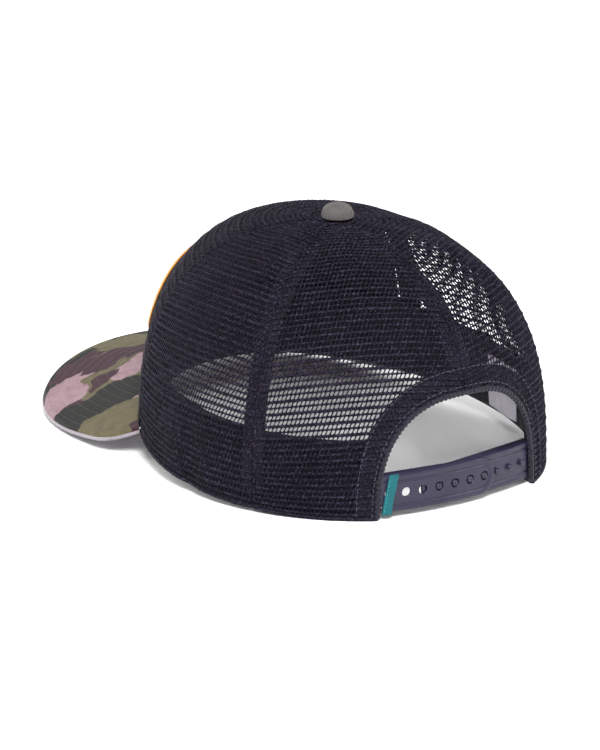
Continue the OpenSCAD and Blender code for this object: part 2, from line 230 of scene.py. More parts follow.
# The mesh yarn's strong pale flecks are painted highlights that stand for glints on the glossy
# threads. Its real specular is kept low.
mesh_yarn = yarn_finish("mesh_yarn", MESH_DARK, MESH_LIGHT, roughness=0.38, sheen=0.0,
                        shine=0.06, fleck_and_glint=4.0, flecks_and_glints_from=0.50)
WALE, ROW = 2.05, 2.95  # mm, one eye to the next round and up
MESH_THICK = 1.2
EYE_HALF_WIDE, EYE_SHIFT = 0.345, 0.05  # shares of a wale and of a row
EYE_TALL_ABOVE_HEAVY, EYE_TALL_ABOVE_LIGHT = 0.32, 0.30
# How far in, in mm, each stretch of the yarn lies: its outer face and, for some, its inner one
RIB_ROUND, LIGHT_RIB_BACK, EYE_RIM = 0.12, 0.34, 0.62
BRIDGE_OUTER, BRIDGE_INNER = 0.32, 0.92
YARN_UNEVEN = 0.045  # mm
# Each eye is a ring of twelve points inside the twelve of its stitch, from the lower left
STITCH = [(0, 0), (0.33, 0), (0.67, 0), (1, 0), (1, 0.32), (1, 0.68),
          (1, 1), (0.67, 1), (0.33, 1), (0, 1), (0, 0.68), (0, 0.32)]
EYE = [(-0.8, -0.82), (-0.36, -1), (0.36, -1), (0.8, -0.82), (1, -0.4), (1, 0.4),
       (0.8, 0.82), (0.36, 1), (-0.36, 1), (-0.8, 0.82), (-1, 0.4), (-1, -0.4)]


def knit(middle, half, dip, opening=False):
    """The open knit of a panel, as triangles; dip says how much its rows fall at the seams."""
    across = np.linspace(-half, half, 121)
    rise = np.linspace(0, 0.9995, 900)
    line = shell(middle, rise) * 1000
    climb = np.concatenate([[0], np.cumsum(np.linalg.norm(np.diff(line, axis=0), axis=1))])

    def row_line(height):
        level = np.interp(height, climb, rise)
        ups = np.degrees(np.arctan(np.tan(np.radians(90 * level))
                                   * np.cos(np.radians(across * dip)))) / 90
        at = shell(middle + across, ups) * 1000
        run = np.concatenate([[0], np.cumsum(np.linalg.norm(np.diff(at, axis=0), axis=1))])
        return ups, run - run[60]

    ends = np.linspace(middle - half, middle + half, 41)
    tops = np.array([up_short_of_top(t, 3.5) for t in ends])
    points, depths = [], []
    for row in range(int(climb[-1] / ROW) + 1):
        reach = row_line(row * ROW)[1][-1]
        wales = np.arange(-int(reach / WALE) - 3 - row // 2, int(reach / WALE) + 4 - row // 2)
        heavy = row % 2 == 0
        tall = EYE_TALL_ABOVE_HEAVY if heavy else EYE_TALL_ABOVE_LIGHT
        ring, ring_depth = [], []
        for k in range(24):
            if k < 12:
                a, b = STITCH[k]
                on_rib, beside = b in (0, 1), a in (0, 1)
                thick_rib = heavy if b == 0 else not heavy
                if on_rib:
                    out = (0 if beside else RIB_ROUND) + (0 if thick_rib else LIGHT_RIB_BACK)
                    low = MESH_THICK - out * 0.5
                else:
                    out, low = BRIDGE_OUTER, BRIDGE_INNER
            else:
                a, b = EYE[k - 12]
                a = 0.5 + a * EYE_HALF_WIDE
                b = 0.5 + b * tall + (EYE_SHIFT if heavy else -EYE_SHIFT)
                out, low = EYE_RIM, EYE_RIM
            ups, run = row_line((row + b) * ROW)
            lean = np.clip((b - 0.12) / 0.76, 0, 1)
            mm = (wales + a + (row + lean) / 2) * WALE
            turn = np.interp(mm, run, middle + across)
            up = np.interp(turn, middle + across, ups)
            ring.append(np.stack([turn, np.minimum(up, np.interp(turn, ends, tops)), mm], -1))
            ring_depth.append((out, low))
        ring = np.stack(ring, 1)
        mid_up = ring[:, :12, 1].mean(1)
        mid_mm = ring[:, :12, 2].mean(1)
        ups, run = row_line((row + 0.5) * ROW)
        gone = (np.abs(mid_mm) > run[-1] + 0.4 * WALE)
        gone |= ring[:, 12:, 1].min(1) >= np.interp(ring[:, 12, 0], ends, tops) - 1e-6
        if opening:
            mid_turn = ring[:, :12, 0].mean(1)
            gone |= arch_share(mid_turn, mid_up) < 0.97
        points.append(ring[~gone])
        depths += [ring_depth] * int((~gone).sum())
    rings, depths = np.concatenate(points), np.array(depths)
    turn, up = rings[..., 0], rings[..., 1]
    if opening:
        turn, up = pushed_out(turn, up)
    seam = np.minimum(np.abs(turn - middle - half), np.abs(turn - middle + half))
    sunk = 0.55 * np.exp(-((seam / 0.9) ** 2))
    outer = shell(turn, up, depths[..., 0] + sunk * (1 - depths[..., 0] / MESH_THICK))
    inner = shell(turn[:, :12], up[:, :12], depths[:, :12, 1])
    count = len(rings)
    every = np.concatenate([outer.reshape(-1, 3), inner.reshape(-1, 3)])
    cell = np.arange(count)[:, None]
    k = np.arange(12)
    nxt = (k + 1) % 12
    a, b = 24 * cell + k, 24 * cell + nxt
    c, d = 24 * cell + 12 + nxt, 24 * cell + 12 + k
    low_a, low_b = 24 * count + 12 * cell + k, 24 * count + 12 * cell + nxt
    faces = np.concatenate([np.stack(t, -1).reshape(-1, 3) for t in (
        (a, b, c), (a, c, d), (low_b, low_a, d), (low_b, d, c))])
    _, first, same = np.unique(np.round(every * 1e6).astype(np.int64), axis=0,
                               return_index=True, return_inverse=True)
    faces = same.reshape(-1)[faces]
    loose = np.random.default_rng(int(middle)).normal(0, YARN_UNEVEN, (len(first), 3)) / 1000
    whole = ((faces[:, 0] != faces[:, 1]) & (faces[:, 1] != faces[:, 2])
             & (faces[:, 2] != faces[:, 0]))
    return every[first] + loose, faces[whole]


def arch_share(turn, up):
    """Below 1 inside the rear opening, 1 on its edge."""
    height = (HIGH - HEM_LIFT * front_share(turn) ** 2) * np.sin(
        np.asarray(up) * np.pi / 2) ** (2 / rise_power(turn))
    return ((np.abs(turn - 180) / OPEN_HALF) ** OPEN_POWER
            + (height / OPEN_HIGH) ** OPEN_POWER) ** (1 / OPEN_POWER)


def pushed_out(turn, up):
    """Moves what lies inside the rear opening out to its edge."""
    share = np.maximum(arch_share(turn, up), 0.3)
    height = (HIGH - HEM_LIFT * front_share(turn) ** 2) * np.sin(up * np.pi / 2) ** (
        2 / rise_power(turn))
    inside = share < 1
    new_turn = np.where(inside, 180 + (turn - 180) / share, turn)
    return new_turn, np.where(inside, up_at(new_turn, height / share), up)


TURNED_WIDE, TURNED_OUTER, TURNED_INNER = 1.7, 0.85, 1.35  # mm


def turned_edge(seam, inward, low, high):
    """The strip of a panel's edge that is turned in along a seam."""
    ups = np.linspace(low, high, 90)[:, None]
    wide = np.linspace(0.1, TURNED_WIDE, 4)[None, :] * inward
    turn = seam + degrees_for(1.0, seam, ups) * wide
    ups = np.broadcast_to(ups, turn.shape)
    round_over = 0.35 * np.array([1, 0, 0, 1])[None, :]
    outer = shell(turn, ups, TURNED_OUTER + round_over)
    inner = shell(turn, ups, TURNED_INNER - 0.2 * round_over)
    return ply(outer, inner) if inward > 0 else ply(outer[:, ::-1], inner[:, ::-1])


def hem_roll(start, end):
    """The mesh's lowest row, folded round to the inside."""
    turn = np.linspace(start, end, max(int(abs(end - start) * 2), 8))[:, None]
    ring = np.linspace(0, 2 * np.pi, 9)[:-1][None, :]
    depth, height = 0.75 - 0.7 * np.cos(ring), 0.65 + 0.6 * np.sin(ring)
    depth, height = np.broadcast_arrays(depth, height + 0 * turn)
    turn = np.broadcast_to(turn, depth.shape)
    return tube_faces(shell(turn, up_at(turn, height), depth))


def tube_faces(rings):
    """A closed tube through rings of points, with flat ends."""
    count, sides = rings.shape[:2]
    at = np.arange(count * sides).reshape(count, sides)
    a, b = at[:-1], np.roll(at, -1, 1)[:-1]
    c, d = np.roll(at, -1, 1)[1:], at[1:]
    faces = np.stack([a, d, c, b], -1).reshape(-1, 4).tolist()
    return rings.reshape(-1, 3), faces + [at[0].tolist(), at[-1, ::-1].tolist()]


FRONT_SEAM, SIDE_SEAM = 60.0, 116.0
panels = [
    ("front_panel", 0.0, FRONT_SEAM, 0.45),
    ("side_panel_left", (FRONT_SEAM + SIDE_SEAM) / 2, (SIDE_SEAM - FRONT_SEAM) / 2, 0.9),
    ("back_panel_left", (SIDE_SEAM + 180) / 2, (180 - SIDE_SEAM) / 2, 0.9),
    ("back_panel_right", 360 - (SIDE_SEAM + 180) / 2, (180 - SIDE_SEAM) / 2, 0.9),
    ("side_panel_right", 360 - (FRONT_SEAM + SIDE_SEAM) / 2, (SIDE_SEAM - FRONT_SEAM) / 2, 0.9),
]
for name, middle, half, dip in panels:
    behind = name.startswith("back")
    parts = [knit(middle, half, dip, opening=behind)]
    for seam, inward in ((middle - half, 1), (middle + half, -1)):
        low = up_at(180, OPEN_HIGH + 1) if abs(seam - 180) < 1 else 0.004
        parts.append(turned_edge(seam, inward, low, up_short_of_top(seam, 4)))
    hem_from, hem_to = middle - half, middle + half
    if behind and middle < 180:
        hem_to = 180 - OPEN_HALF
    elif behind:
        hem_from = 180 + OPEN_HALF
    parts.append(hem_roll(hem_from, hem_to))
    panel = piece(name + "_knit", *joined(*parts), mesh_yarn, stands_for=[name], slot="mesh_knit")

# ---- Lining behind the front panel ----
# A stiff buckram lining, fused and stitched behind the front panel to hold it upright. Its
# side edges end beside the seam tapes.

LAYER_OFF, LAYER_THICK = 1.42, 0.75  # mm, inside the mesh
TAPE_WIDE = 11.0
CLEAR_OF_BUTTON = 13  # mm, where the lining and the tapes end short of the top
lining_cloth = yarn_finish("lining_cloth", (0.008, 0.0075, 0.012), (0.014, 0.013, 0.020),
                           roughness=0.8, sheen=0.2, thread_mm=0.6)
climb, sweep = np.linspace(0, 1, 46)[:, None], np.linspace(-1, 1, 70)[None, :]
lining_top = up_short_of_top(0, CLEAR_OF_BUTTON)
lining_ups = 0.02 + (lining_top - 0.02) * climb + 0 * sweep
lining_half = FRONT_SEAM - degrees_for(TAPE_WIDE / 2 + 1, FRONT_SEAM, lining_ups[:, :1])
lining_turns = lining_half * sweep
grain = 0.06 * np.sin(40 * climb * np.pi) * np.sin(60 * sweep * np.pi)
lining = piece("front_lining", *ply(
    shell(lining_turns, lining_ups, LAYER_OFF + grain),
    shell(lining_turns, lining_ups, LAYER_OFF + LAYER_THICK + grain)),
    lining_cloth, stands_for=["front_backing"], slot="lining_cloth")

# ---- Seam tapes ----
# Woven binding tape over the inside of each panel seam, held by a row of stitches along
# both of its edges.


def threads(centres, along, away, long, thick, bow=0.4):
    """Short bowed lengths of thread, in mm, at points in metres."""
    centres, along, away = (np.asarray(v, float).reshape(-1, 3) for v in (centres, along, away))
    along = along / np.linalg.norm(along, axis=1, keepdims=True)
    away = away - along * (away * along).sum(1, keepdims=True)
    away = away / np.linalg.norm(away, axis=1, keepdims=True)
    beside = np.cross(away, along)
    reach = np.array([-1, -0.75, -0.3, 0.3, 0.75, 1])
    girth = np.array([0.35, 0.85, 1, 1, 0.85, 0.35])
    lift = bow * (1 - 2 * np.abs(reach) ** 3)
    ring = np.arange(6) * np.pi / 3
    long, thick = np.broadcast_to(long, len(centres)), thick / 1000
    spine = (centres[:, None]
             + along[:, None] * (reach[None, :, None] * long[:, None, None] / 2000)
             + away[:, None] * (lift * thick)[None, :, None])
    points = (spine[:, :, None]
              + beside[:, None, None] * (np.cos(ring)[None, None] * girth[None, :, None]
                                         * thick)[..., None]
              + away[:, None, None] * (np.sin(ring)[None, None] * girth[None, :, None]
                                       * thick)[..., None])
    at = np.arange(len(centres) * 36).reshape(-1, 6, 6)
    side = np.stack([at[:, :-1], np.roll(at, -1, 2)[:, :-1], np.roll(at, -1, 2)[:, 1:],
                     at[:, 1:]], -1).reshape(-1, 4)
    ends = at[:, [0, 5]].reshape(-1, 6)
    return points.reshape(-1, 3), side.tolist() + ends.tolist()


def stitch_row(line, away, long=2.0, pitch=2.9, thick=0.2):
    """A row of stitches along a line of points."""
    line, away = np.asarray(line, float), np.broadcast_to(away, np.shape(line))
    run = np.concatenate([[0], np.cumsum(np.linalg.norm(np.diff(line, axis=0), axis=1))]) * 1000
    at = np.arange(pitch / 2, run[-1] - pitch / 3, pitch)

    def on_line(values, where):
        return np.stack([np.interp(where, run, values[:, i]) for i in range(3)], -1)
    step = on_line(line, at + 0.5) - on_line(line, at - 0.5)
    return threads(on_line(line, at), step, on_line(away, at), long, thick)


def inward(turn, up, depth):
    """The direction into the cap at points of the shell."""
    return shell(turn, up, depth + 0.5) - shell(turn, up, depth)


def sewn_piece(name, cloth, rows, cloth_finish, thread_finish, **facts):
    """A cloth piece and its rows of stitches as one mesh with two finishes."""
    cloth_points, cloth_faces = joined(*cloth)
    made = piece(name, *joined((cloth_points, cloth_faces), *rows), cloth_finish, **facts)
    made.data.materials.append(thread_finish)
    marks = np.zeros(len(made.data.polygons), np.int32)
    marks[len(cloth_faces):] = 1
    made.data.polygons.foreach_set("material_index", marks)
    return made


tape_cloth = yarn_finish("tape_cloth", (0.007, 0.0065, 0.011), (0.012, 0.011, 0.018),
                         roughness=0.75, sheen=0.12, thread_mm=0.5)
navy_thread = yarn_finish("navy_thread", (0.020, 0.018, 0.032), (0.04, 0.036, 0.058),
                          roughness=0.5, sheen=0.15, thread_mm=0.25, patch_mm=5)
for name, seam, under in (("front_left", FRONT_SEAM, "side_panel_left_knit"),
                          ("front_right", -FRONT_SEAM, "side_panel_right_knit"),
                          ("side_left", SIDE_SEAM, "side_panel_left_knit"),
                          ("side_right", -SIDE_SEAM, "side_panel_right_knit"),
                          ("back", 180.0, "back_panel_left_knit")):
    foot = float(up_at(180, OPEN_HIGH + TAPE_WIDE + 0.5)) if seam == 180 else 0.02
    ups = np.linspace(foot, up_short_of_top(seam, CLEAR_OF_BUTTON), 110)[:, None]
    mm = np.linspace(-TAPE_WIDE / 2, TAPE_WIDE / 2, 15)[None, :]
    turns = seam + degrees_for(1.0, seam, ups) * mm
    level = np.broadcast_to(ups, turns.shape)
    ribs = 0.07 * np.cos(mm * 2 * np.pi / 1.8) + 0.12 * np.exp(-((np.abs(mm) - 5.2) / 0.4) ** 2)
    body = ply(shell(turns, level, LAYER_OFF), shell(turns, level, LAYER_OFF + LAYER_THICK + ribs))
    rows = []
    for column in (2, 12):
        t, u = turns[:, column], level[:, column]
        rows.append(stitch_row(shell(t, u, LAYER_OFF + LAYER_THICK + 0.1), inward(t, u, 2.0)))
    tape = sewn_piece("seam_tape_" + name + "_cloth", [body], rows, tape_cloth, navy_thread,
                      stands_for=["seam_tape_" + name], slot="tape_cloth")

# ---- Binding round the rear opening ----
# A bias strip of tape lies inside the panels along the opening, and a corded edge of the
# same yarn rolls round the raw edge of the mesh.


def arch_line(steps, grow):
    """Turns and ups along the opening's edge, moved grow mm away from the opening."""
    t = np.radians(steps)
    half = OPEN_HALF + grow / (HALF_LONG * np.pi / 180)
    turn = 180 - half * np.sign(np.cos(t)) * np.abs(np.cos(t)) ** (2 / OPEN_POWER)
    height = (OPEN_HIGH + grow) * np.sin(t) ** (2 / OPEN_POWER)
    return turn, up_at(turn, np.maximum(height, 0.2))


BINDING_WIDE, CORD_R, CORD_IN, CORD_TWIST = 11, 1.25, 1.15, 2.3  # mm
sweep = np.linspace(0.0, 180.0, 181)
grows = np.linspace(0.2, BINDING_WIDE, 12)
grid = [arch_line(sweep, g) for g in grows]
turns, ups = np.array([g[0] for g in grid]), np.array([g[1] for g in grid])
swell = (0.12 * np.sin(np.pi * (grows[:, None] / BINDING_WIDE))
         + 0.05 * np.sin(sweep[None, :] * 1.3))
binding_parts = [ply(shell(turns, ups, LAYER_OFF + 0.15 - swell * 0.5),
                     shell(turns, ups, LAYER_OFF + 0.15 + LAYER_THICK + swell))]
fine = np.linspace(0.4, 179.6, 420)
edge_turn, edge_up = arch_line(fine, 0.0)
edge = shell(edge_turn, edge_up, CORD_IN)
run = np.concatenate([[0], np.cumsum(np.linalg.norm(np.diff(edge, axis=0), axis=1))]) * 1000
far_turn, far_up = arch_line(fine, 1.0)
aside = shell(far_turn, far_up, CORD_IN) - edge
aside /= np.linalg.norm(aside, axis=1, keepdims=True)
deep = inward(edge_turn, edge_up, CORD_IN)
deep /= np.linalg.norm(deep, axis=1, keepdims=True)
ring = np.linspace(0, 2 * np.pi, 13)[:-1]
girth = CORD_R + 0.2 * np.sin(run * 2 * np.pi / CORD_TWIST)[:, None]
cord_edge = (edge[:, None]
             + aside[:, None] * (np.cos(ring) * girth / 1000)[..., None]
             + deep[:, None] * (np.sin(ring) * girth * 0.95 / 1000)[..., None])
binding_parts.append(tube_faces(cord_edge))
binding_rows = []
for grow, depth, out in ((2.6, -0.05, -1), (10.2, -0.05, -1), (2.6, 2.5, 1), (10.2, 2.5, 1)):
    t, u = arch_line(fine, grow)
    binding_rows.append(stitch_row(shell(t, u, depth), out * inward(t, u, depth), thick=0.19))
binding = sewn_piece("opening_binding_cloth", binding_parts, binding_rows, tape_cloth,
                     navy_thread, stands_for=["opening_binding"], slot="tape_cloth")

# ---- Sweatband and its foam ----
# A soft twill band, folded over thin foam and turned under at the hem, where one row of
# stitches holds it to the panels. A second row runs below its top fold.

BAND_HIGH = 38.0
BAND_HALF = 180 - OPEN_HALF - 1


def swept_band(profile, half, steps):
    """A closed profile of (depth, height) in mm, carried round the hem."""
    turn = np.linspace(-half, half, steps)[:, None]
    depth, height = profile(turn)
    turn = np.broadcast_to(turn, depth.shape)
    return tube_faces(shell(turn, up_at(turn, height), depth))


def band_profile(turn):
    shape = np.array([(5.0, 0.7), (5.5, 2.0), (5.75, 4), (5.9, 9), (5.9, 16), (5.8, 23),
                      (5.65, 29), (5.45, 32.5), (5.1, 34.0), (4.95, 34.6), (5.1, 35.2),
                      (5.4, 36.2), (5.35, 37.3), (4.9, 38.0), (4.4, 38.0), (4.1, 37.3),
                      (4.1, 30), (4.1, 15), (4.1, 2.4), (3.6, 1.35), (2.6, 1.2),
                      (1.45, 1.15), (1.35, 0.45), (2.6, 0.25), (4.2, 0.3)])
    mm = turn * HALF_LONG * np.pi / 180
    soft = np.clip((shape[None, :, 0] - 4.1) / 1.6, 0, 1)
    fold = 0.28 * np.sin(mm / 7.3) * np.sin(mm / 17 + 1.1) + 0.10 * np.sin(mm * 2 * np.pi / 5.4)
    wave = np.sin(np.pi * shape[None, :, 1] / BAND_HIGH)
    return shape[None, :, 0] + soft * (fold * wave - 0.1), shape[None, :, 1] + 0 * turn


def foam_profile(turn):
    shape = np.array([(3.9, 2.2), (3.95, 8), (3.95, 30), (3.9, 35), (3.6, 35.8), (2.9, 35.8),
                      (2.62, 35), (2.6, 30), (2.6, 8), (2.62, 2.2), (2.9, 1.6), (3.6, 1.6)])
    return shape[None, :, 0] + 0 * turn, shape[None, :, 1] + 0 * turn


foam = piece("sweatband_foam", *swept_band(foam_profile, BAND_HALF, 220),
             yarn_finish("foam_dark", (0.006, 0.006, 0.010), (0.010, 0.009, 0.015), roughness=0.9,
                         sheen=0.1, thread_mm=0.8), stands_for=["sweatband_pad"], slot="foam_pad")
band_cloth = yarn_finish("sweatband_cloth", (0.008, 0.0075, 0.012), (0.014, 0.013, 0.020),
                         roughness=0.75, sheen=0.15, thread_mm=0.45)
band_turns = np.linspace(-BAND_HALF + 1, BAND_HALF - 1, 500)
band_rows = []
for height, depth in ((34.6, 5.05), (2.4, 5.75)):
    u = up_at(band_turns, np.full_like(band_turns, height))
    band_rows.append(stitch_row(shell(band_turns, u, depth), inward(band_turns, u, depth),
                                long=2.3, pitch=3.2, thick=0.2))
sweatband = sewn_piece("sweatband_cloth", [swept_band(band_profile, BAND_HALF, 520)], band_rows,
                       band_cloth, navy_thread, stands_for=["sweatband"], slot="sweatband_cloth")

# ---- Front patch ----
# A plain twill patch on the front panel. An overlocked border of orange thread wraps
# its edge; its face is left blank.

PATCH_HALF, PATCH_MID, PATCH_HIGH, PATCH_POWER = 43.0, 48.0, 21.0, 3.0
BORDER_WIDE, BORDER_OUT, BORDER_THICK = 3.5, 0.85, 0.45  # mm


def patch_point(t, share, depth):
    turn = PATCH_HALF * share * np.sign(np.cos(t)) * np.abs(np.cos(t)) ** (2 / PATCH_POWER)
    height = PATCH_MID + PATCH_HIGH * share * np.sign(np.sin(t)) * np.abs(np.sin(t)) ** (
        2 / PATCH_POWER)
    return shell(turn, up_at(turn, height), depth)


def even_round(share, count):
    """Angles that space points evenly along the patch's outline."""
    t = np.linspace(0, 2 * np.pi, 4001)
    line = patch_point(t, share, -1.0)
    run = np.concatenate([[0], np.cumsum(np.linalg.norm(np.diff(line, axis=0), axis=1))])
    return np.interp(np.linspace(0, run[-1], count, endpoint=False), run, t)


t = even_round(1.0, 240)
inner_share = 1 - BORDER_WIDE / PATCH_HIGH
face_loops = [patch_point(t, s, -0.42) for s in np.linspace(0.02, inner_share + 0.03, 14)]
face_loops += [patch_point(t, s, -1.5 - 0.12 * np.sin(9 * t) * (s > 0.1) * 0.3)
               for s in np.linspace(inner_share + 0.03, 0.02, 30)]


def twill_finish(name, dark, light, rib_mm, turn=(0, 0, 0.6), roughness=0.75):
    """Twill: fine slanted ribs over two close shades, with painted shade in the grooves between
    the ribs.
    """
    made, tree, shader, place = blank_finish(name, roughness, Sheen_Weight=0.3,
                                             Sheen_Roughness=0.5, Specular_IOR_Level=0.3)
    aligned = node(tree, "ShaderNodeMapping", {"Vector": place, "Rotation": turn})
    ribs = node(tree, "ShaderNodeTexWave", {"Vector": aligned.outputs[0],
                                            "Scale": 1000 / rib_mm / 3.14, "Distortion": 1.0,
                                            "Detail": 1.0, "Detail Scale": 3.0})
    tone = mixed_colour(tree, soft_cloud(tree, place, 9), (*dark, 1), (*light, 1))
    # deep is a darker copy of the cloth put in the rib grooves: painted shade.
    deep = tuple(0.7 * c for c in dark)
    tree.links.new(mixed_colour(tree, ribs.outputs["Fac"], (*deep, 1), tone),
                   shader.inputs["Base Color"])
    raised(tree, shader, ribs.outputs["Fac"], 0.12)
    return made


patch = piece("front_patch_face", *tube_faces(np.array(face_loops)),
              twill_finish("patch_twill", (0.50, 0.44, 0.34), (0.60, 0.54, 0.43), 0.9,
                           (1.2, 0.3, 0.6)), stands_for=["front_patch"], slot="patch_cloth")

t = even_round(1.0, 320)
mid_share = (1 + inner_share) / 2
half_share = (1 - inner_share) / 2
border_loops = []
for a in np.linspace(0, 2 * np.pi, 13):
    border_loops.append(patch_point(t, mid_share + half_share * 0.93 * np.cos(a),
                                    -BORDER_OUT - BORDER_THICK * np.sin(a)))
border_base = np.array(border_loops[:-1]).transpose(1, 0, 2)
at = np.arange(border_base.shape[0] * 12).reshape(-1, 12)
border_faces = np.stack([at, np.roll(at, -1, 0), np.roll(np.roll(at, -1, 0), -1, 1),
                         np.roll(at, -1, 1)], -1).reshape(-1, 4)
t = even_round(mid_share, 860)
inside, outside = patch_point(t - 0.004, inner_share, -1.1), patch_point(t + 0.004, 1.0, -1.1)
over = patch_point(t, mid_share, -1.9) - patch_point(t, mid_share, -1.1)
orange_thread = yarn_finish("orange_thread", (0.46, 0.155, 0.012), (0.56, 0.215, 0.020),
                            roughness=0.45, sheen=0.4, thread_mm=0.25, patch_mm=6)
piece("patch_border_thread", *joined(
    (border_base.reshape(-1, 3), border_faces),
    threads((inside + outside) / 2 + over * 0.12, outside - inside, over,
            np.linalg.norm(outside - inside, axis=1) * 1000, 0.30, bow=1.6)),
    orange_thread, stands_for=["patch_border"], slot="patch_thread")

# ---- Brim ----
# A curved plastic board between two covers of camouflage twill and pale lilac twill. The
# lilac cover rolls up round the board's edge, and rows of stitches run parallel to that edge.

BRIM_HALF, BRIM_LONG, BRIM_POWER, WIDEST = 92.0, 76.0, 2.4, -76.0  # mm
ROOT_X = (HALF_WIDE + 0.15) * math.sin(math.radians(FRONT_SEAM))
ROOT_Y = -(HALF_LONG + 0.15) * math.cos(math.radians(FRONT_SEAM))
TIP = BRIM_LONG + HALF_LONG + WIDEST
EDGE_START = math.acos((ROOT_X / BRIM_HALF) ** (BRIM_POWER / 2))
REAR = (ROOT_Y - WIDEST) / math.sin(EDGE_START) ** (2 / BRIM_POWER)
BRIM_FALL, BRIM_DROP = 0.125, 1.2
ARCH = (HEM_LIFT * (1 - front_share(FRONT_SEAM) ** 2)
        + BRIM_FALL * HALF_LONG * (1 - math.cos(math.radians(FRONT_SEAM)))) / (
            HALF_WIDE * math.sin(math.radians(FRONT_SEAM))) ** 2


def brim_edge(t, inset=0.0):
    """The brim's outline in mm, from the hem's centre."""
    x = (BRIM_HALF - inset) * np.sign(np.cos(t)) * np.abs(np.cos(t)) ** (2 / BRIM_POWER)
    reach = np.where(np.sin(t) > 0, TIP - inset, -REAR)
    return np.stack([x, WIDEST - reach * np.abs(np.sin(t)) ** (2 / BRIM_POWER)], -1)


def on_brim(flat, above):
    """Points of the brim in metres, above its middle surface by that many mm."""
    x, y = flat[..., 0], flat[..., 1]
    z = HEM_LIFT + BRIM_DROP - ARCH * x * x + BRIM_FALL * (y + HALF_LONG) + above
    return np.stack([x, y + CENTRE_Y, z], -1) / 1000


def brim_flat(across, out, inset=0.0):
    """A flat place on the brim: across 0 to 1 from the wearer's right, out 0 to 1."""
    t = math.pi + EDGE_START - (math.pi + 2 * EDGE_START) * across
    turn = np.radians(FRONT_SEAM * (2 * across - 1))
    root = np.stack([(HALF_WIDE + 0.15) * np.sin(turn), -(HALF_LONG + 0.15) * np.cos(turn)], -1)
    return root * (1 - out)[..., None] + brim_edge(t, inset) * out[..., None]


edge_t = np.linspace(-EDGE_START, math.pi + EDGE_START, 1600)
outline = brim_edge(edge_t)
way = np.gradient(outline, axis=0)
way /= np.linalg.norm(way, axis=1, keepdims=True)
to_middle = np.stack([way[:, 1], -way[:, 0]], -1)
to_middle *= np.sign((to_middle * ([0, -85] - outline)).sum(1).mean())
ROW_FROM_EDGE = [3.0 + 4.7 * k for k in range(12)]


def stitch_line(distance):
    """The part of a line parallel to the brim's edge that lies ahead of the crown."""
    line = outline + to_middle * distance
    clear = (line[:, 0] / (HALF_WIDE + 2)) ** 2 + (line[:, 1] / (HALF_LONG + 2)) ** 2 > 1
    clear &= (np.abs(line[:, 0]) < BRIM_HALF) & (line[:, 1] < ROOT_Y - 1)
    return line[clear]


stitch_lines = [stitch_line(d) for d in ROW_FROM_EDGE]


def quilt(flat):
    """How far the cover is drawn down by its stitch rows, in mm."""
    down = np.zeros(flat.shape[:-1])
    from_edge = np.full(flat.shape[:-1], 1e9)
    for i in range(0, len(outline), 4):
        from_edge = np.minimum(from_edge, np.hypot(flat[..., 0] - outline[i, 0],
                                                   flat[..., 1] - outline[i, 1]))
    for distance in ROW_FROM_EDGE:
        down = np.maximum(down, np.exp(-(((from_edge - distance) / 0.75) ** 2)))
    return down


TOP_OUTER, TOP_INNER, ROLL_FROM = 1.90, 1.05, 0.972  # mm above the middle; share of the way out
across, out = np.meshgrid(np.linspace(0, 1, 231), np.linspace(0, 1, 101))
flat = brim_flat(across, out)
dip = quilt(flat)
over_edge = np.clip((out - ROLL_FROM) / (1 - ROLL_FROM), 0, 1)
top_cover = ply(on_brim(flat, TOP_OUTER - 0.20 * dip - 1.9 * over_edge**2)[::-1],
                on_brim(flat, TOP_INNER - 1.6 * over_edge)[::-1])
brim_rows = []
for line in stitch_lines:
    if len(line) > 20:
        brim_rows.append(stitch_row(on_brim(line, 1.66), [0, 0, 1], long=1.1, pitch=2.3,
                                    thick=0.12))


